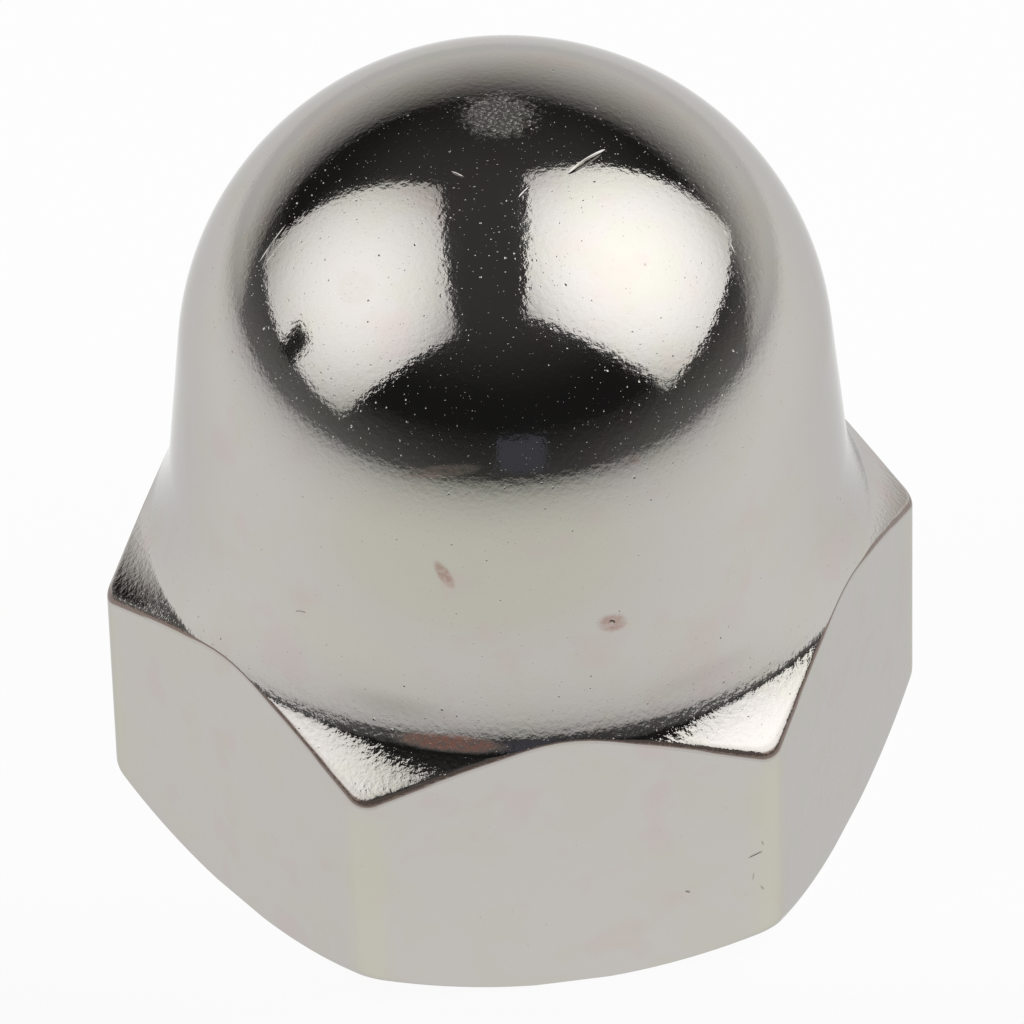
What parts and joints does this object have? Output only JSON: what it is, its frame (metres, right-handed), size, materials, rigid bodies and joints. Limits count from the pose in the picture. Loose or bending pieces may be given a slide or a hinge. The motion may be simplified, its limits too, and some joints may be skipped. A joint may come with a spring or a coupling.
{
  "type": "cap nut",
  "caption": "High-domed hexagon cap nut with a blind threaded hole, which covers and protects the end of a bolt or threaded rod.",
  "frame": {"origin": "centre of the annular bearing face, on the thread's axis", "axes": "+Z along the thread's axis towards the top of the dome; two of the hexagon's corners lie on X and two of its flats face -Y and +Y"},
  "size_m": [0.0148, 0.013, 0.015],
  "materials": {
    "bright_nickel": "polished nickel plate over steel, with fine tumbling pits and scratches"
  },
  "bodies": {
    "root": {"cap_nut": "bright_nickel"}
  },
  "joints": []
}
